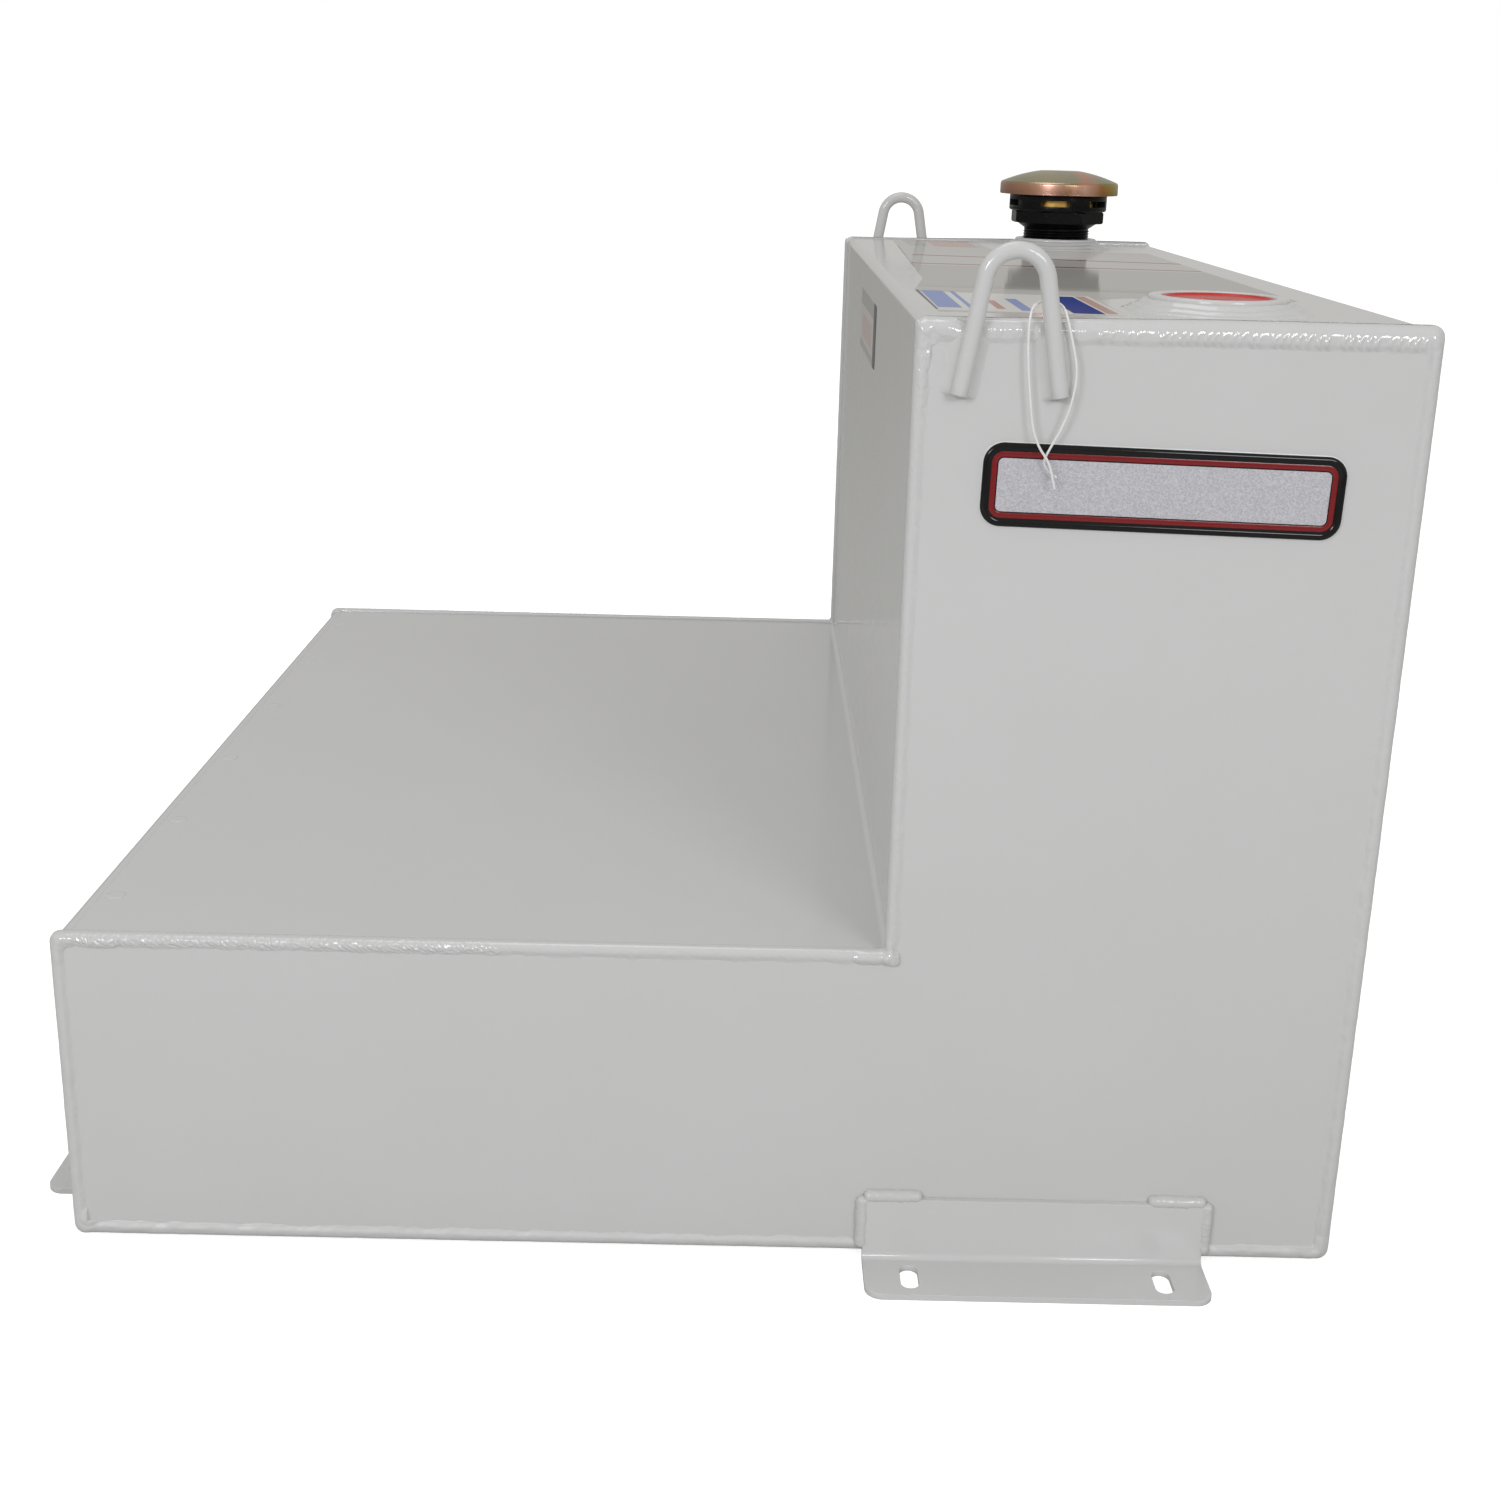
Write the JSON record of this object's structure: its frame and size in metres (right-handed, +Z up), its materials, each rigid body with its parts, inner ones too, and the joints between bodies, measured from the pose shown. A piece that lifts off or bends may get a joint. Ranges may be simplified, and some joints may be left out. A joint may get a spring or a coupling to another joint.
{
  "type": "truck bed transfer tank",
  "caption": "L-shaped welded steel liquid tank for a pickup bed, with vented fill cap, plugged pump port, lifting loops and slotted hold-down brackets.",
  "frame": {"origin": "middle of the bounding box, on the bed that the brackets stand on", "axes": "+X from the low tail section to the tall cab section, +Y from the end with the pump port to the end with the fill cap, +Z up"},
  "size_m": [0.8264, 0.9268, 0.6478],
  "materials": {
    "white_powder_coat": "gloss",
    "bare_steel": "mill",
    "black_plastic": "moulded",
    "yellow_zinc": "iridescent yellow zinc",
    "rubber": "moulded",
    "red_plastic": "moulded",
    "tie_nylon": "translucent"
  },
  "bodies": {
    "tank": {"tank_wrap": "white_powder_coat", "seam_weld": "white_powder_coat", "plug_welds": "white_powder_coat", "near_end_plate": "white_powder_coat", "far_end_plate": "white_powder_coat", "near_end_weld": "white_powder_coat", "far_end_weld": "white_powder_coat", "fill_bung": "white_powder_coat", "pump_bung": "white_powder_coat", "fill_bung_weld": "white_powder_coat", "pump_bung_weld": "white_powder_coat", "near_lifting_loop": "white_powder_coat", "far_lifting_loop": "white_powder_coat", "near_loop_welds": "white_powder_coat", "far_loop_welds": "white_powder_coat", "near_bracket": "white_powder_coat", "far_bracket": "white_powder_coat", "tail_bracket_near": "white_powder_coat", "tail_bracket_far": "white_powder_coat", "bracket_welds": "white_powder_coat", "near_baffle": "bare_steel", "far_baffle": "bare_steel", "adapter_body": "black_plastic", "vent_ring": "black_plastic", "neck_sleeve": "yellow_zinc", "tag_tie": "tie_nylon"},
    "cap_seal": {"cap_gasket": "rubber", "gasket_plate": "yellow_zinc", "cap_spring": "yellow_zinc"},
    "cap": {"cap_shell": "yellow_zinc", "cap_base": "yellow_zinc", "vent_valve": "rubber"},
    "plug": {"shipping_plug": "red_plastic"}
  },
  "joints": [
    {"name": "cap_lift", "type": "slide", "parent": "tank", "child": "cap_seal", "axis": [0, 0, 1], "range_m": [0, 0.06]},
    {"name": "cap_turn", "type": "hinge", "parent": "cap_seal", "child": "cap", "pos_m": [0.30925, 0.322, 0.6285], "axis": [0, 0, -1], "range_deg": [0, 90]},
    {"name": "plug_pull", "type": "slide", "parent": "tank", "child": "plug", "axis": [0, 0, 1], "range_m": [0, 0.04]}
  ]
}
